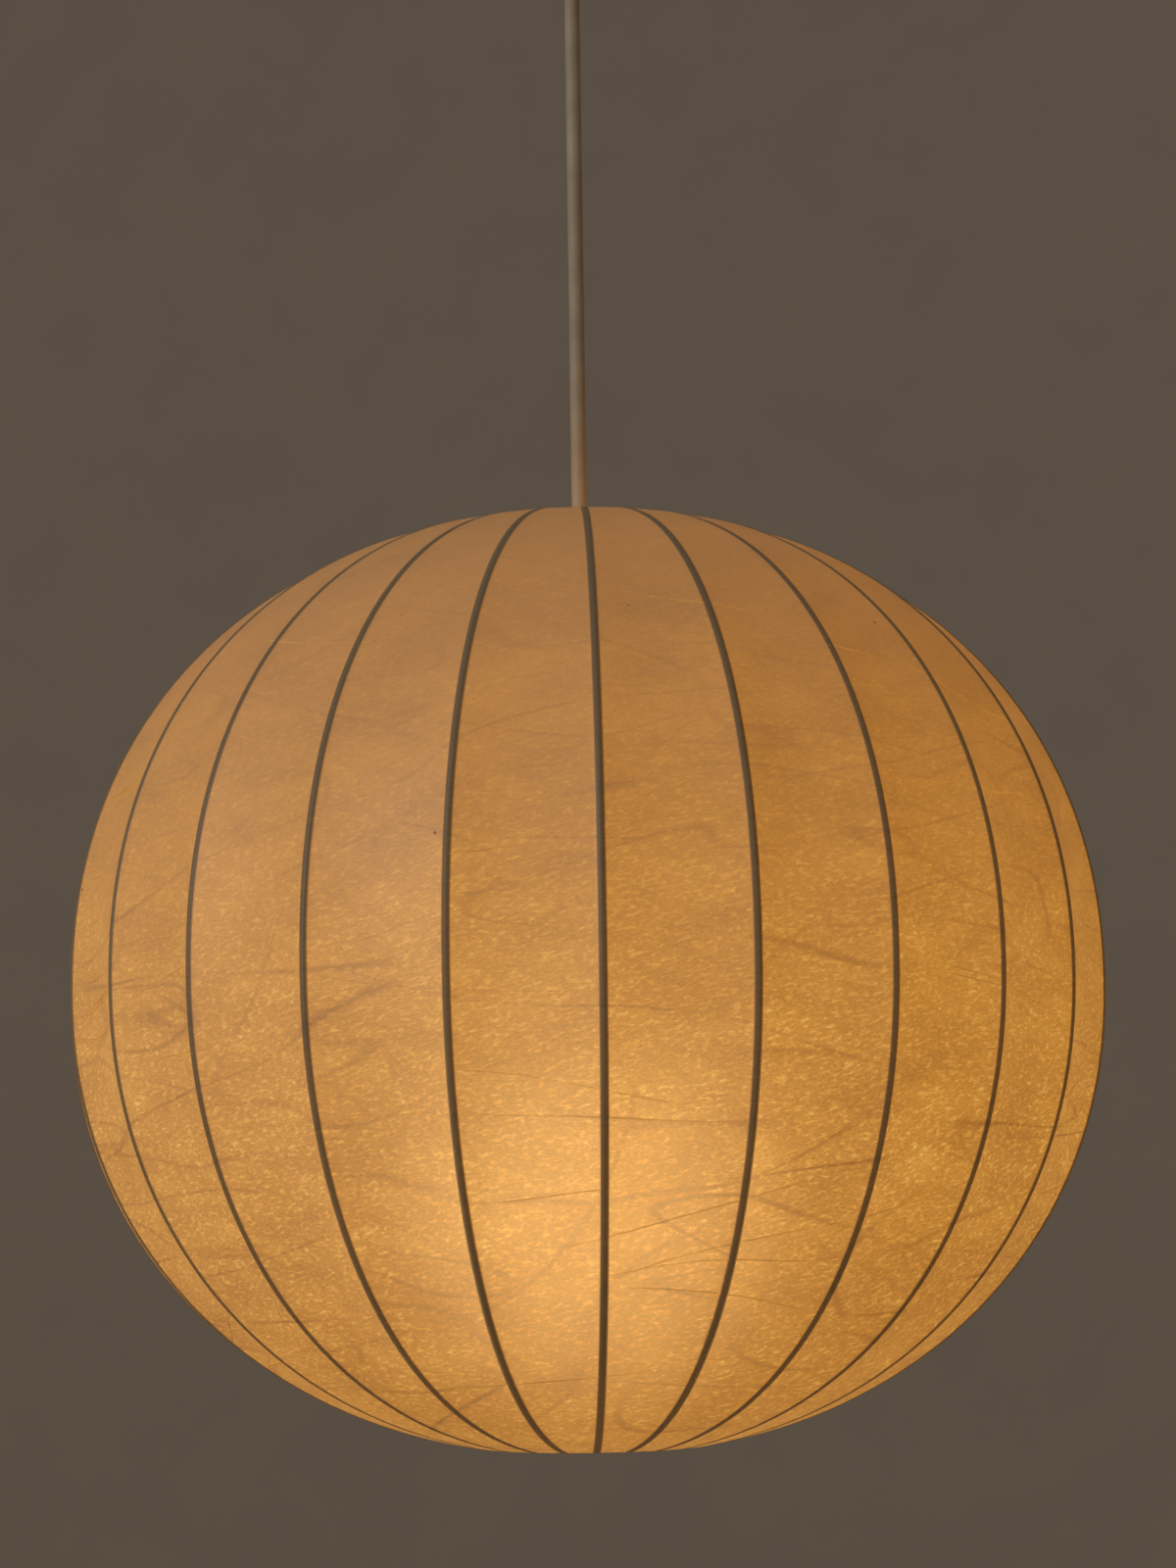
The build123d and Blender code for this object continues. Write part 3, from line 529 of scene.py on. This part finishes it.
def strands_mesh(count, thickness):
    """Threads of film that wander round the globe, each a thin three-sided tube on its surface."""
    rng = random.Random(23)
    points, faces = [], []
    for _ in range(count):
        start = rng.uniform(0, 2 * pi)
        span = rng.uniform(0.25, 1.0)  # round the globe, in radians
        middle = rng.triangular(low * 0.86, high * 0.6, -0.45)
        tilt = rng.gauss(0.06, 0.14)
        bends = [
            (rng.gauss(0, 0.022) / k, rng.uniform(1.5, 3.5) * k, rng.uniform(0, 6.3))
            for k in (1, 2, 3)
        ]
        steps = max(8, int(span * rib_count * 10 / (2 * pi)))
        first = len(points)
        radius = thickness * rng.uniform(0.6, 1.2) / 2
        for i in range(steps + 1):
            angle = start + span * i / steps
            elevation = middle + tilt * (i / steps - 0.5) * span
            elevation += sum(a * sin(f * angle + p) for a, f, p in bends)
            elevation = max(low * 0.97, min(high * 0.97, elevation))
            out, height = film_radius(angle, elevation)
            thin = radius * sqrt(max(0.05, sin(pi * i / steps)))
            for side in range(3):
                turn = 2 * pi * side / 3
                reach = out + strand_lift + thin * cos(turn)
                z = equator_level + height + thin * sin(turn)
                points.append((reach * cos(angle), reach * sin(angle), z))
        for i in range(steps):
            for side in range(3):
                a = first + 3 * i + side
                b = first + 3 * i + (side + 1) % 3
                faces.append((a, b, b + 3, a + 3))
        faces.append((first + 2, first + 1, first))
        last = first + 3 * steps
        faces.append((last, last + 1, last + 2))
    mesh = bpy.data.meshes.new("film_strands")
    mesh.from_pydata(points, [], faces)
    mesh.shade_smooth()
    return mesh


strands = bpy.data.objects.new("film_strands", strands_mesh(strand_count, strand_thickness))
bpy.context.collection.objects.link(strands)
strands.data.materials.append(strand_material())
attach(strands, "lamp")

# ---------------------------------------------------------------- flex
flex_low, flex_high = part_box("cord")
flex_foot = flex_low[2] + flex_end_gap
flex_points = [
    (0, 0, flex_foot),
    (0, 0, flex_foot + flex_lead),
    (0, 0, flex_high[2] - flex_lead),
    (0, 0, flex_high[2]),
]
curve = bpy.data.curves.new("hanging_flex", "CURVE")
curve.dimensions = "3D"
curve.bevel_depth = flex_diameter / 2
curve.bevel_resolution = 8
curve.use_fill_caps = True
spline = curve.splines.new("NURBS")
spline.points.add(len(flex_points) - 1)
for point, place in zip(spline.points, flex_points):
    point.co = (*place, 1)
spline.order_u = 3
spline.use_endpoint_u = True
spline.resolution_u = 12
flex = bpy.data.objects.new("hanging_flex", curve)
bpy.context.collection.objects.link(flex)
curve.materials.append(slot_materials["flex"])
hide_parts("cord")
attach(flex, "flex")


# ---------------------------------------------------------------- stage
def studio_mesh(radius, floor_level, height, cove):
    """A round floor that curves up into a wall, as one sheet."""
    profile = [(radius * 0.5, floor_level), (radius - cove, floor_level)]
    profile += [
        (radius - cove + cove * sin(pi / 2 * i / 8), floor_level + cove * (1 - cos(pi / 2 * i / 8)))
        for i in range(1, 9)
    ]
    profile.append((radius, floor_level + height))
    steps = 96
    angles = [2 * pi * k / steps for k in range(steps)]
    points = [(r * cos(a), r * sin(a), z) for r, z in profile for a in angles]
    faces = grid_faces(len(profile), steps)
    faces.append(tuple(range(steps - 1, -1, -1)))
    mesh = bpy.data.meshes.new("studio")
    mesh.from_pydata(points, [], faces)
    mesh.shade_smooth()
    return mesh


studio = bpy.data.objects.new("studio", studio_mesh(radius=3.4, floor_level=-1.9, height=4.6, cove=0.5))
bpy.context.collection.objects.link(studio)


def area_light(name, place, aim, size, power, colour):
    """A soft rectangular light at place, turned to aim."""
    data = bpy.data.lights.new(name, "AREA")
    data.shape = "RECTANGLE"
    data.size, data.size_y = size
    data.energy = power
    data.color = colour
    light = bpy.data.objects.new(name, data)
    bpy.context.collection.objects.link(light)
    light.location = place
    light.rotation_euler = (Vector(aim) - Vector(place)).to_track_quat("-Z", "Y").to_euler()
    light.visible_camera = False
    return light


studio.data.materials.append(stage_material())
globe_middle = (0, 0, equator_level)
area_light(
    "window",
    place=(-1.9, -1.5, 0.35),
    aim=globe_middle,
    size=(1.3, 1.6),
    power=16.0,
    colour=(0.88, 0.94, 1.0),
)
area_light(
    "fill",
    place=(1.8, -1.6, 0.2),
    aim=globe_middle,
    size=(1.5, 1.5),
    power=0.6,
    colour=(1.0, 0.92, 0.82),
)

lamp_light = bpy.data.lights.new("bulb_light", "POINT")
lamp_light.energy = 1.5
lamp_light.color = (1.0, 0.66, 0.32)
lamp_light.shadow_soft_size = 0.05
lamp_object = bpy.data.objects.new("bulb_light", lamp_light)
bpy.context.collection.objects.link(lamp_object)
lamp_object.location = bulb_centre
lamp_object.parent = film  # so that it swings with the lamp

world = bpy.data.worlds.new("room")
world.use_nodes = True
world.node_tree.nodes["Background"].inputs["Color"].default_value = (1.0, 0.93, 0.84, 1)
world.node_tree.nodes["Background"].inputs["Strength"].default_value = 0.14
bpy.context.scene.world = world

# ---------------------------------------------------------------- camera
camera_distance = 1.307
camera_drop = 0.0972  # below the globe's widest level
camera_pitch = radians(7.9)
camera_roll = radians(-0.85)
camera_turn = radians(-1.7)  # round the lamp, so that no rib is quite in the middle
camera_aside = 0.0019
camera_data = bpy.data.cameras.new("camera")
camera_data.sensor_fit = "VERTICAL"
camera_data.sensor_height = 36
camera_data.lens = 73.35
camera = bpy.data.objects.new("camera", camera_data)
bpy.context.collection.objects.link(camera)
camera.matrix_world = (
    Matrix.Rotation(camera_turn, 4, "Z")
    @ Matrix.Translation((camera_aside, -camera_distance, equator_level - camera_drop))
    @ Matrix.Rotation(pi / 2 + camera_pitch, 4, "X")
    @ Matrix.Rotation(camera_roll, 4, "Z")
)
bpy.context.scene.camera = camera
bpy.context.scene.view_settings.view_transform = "Standard"
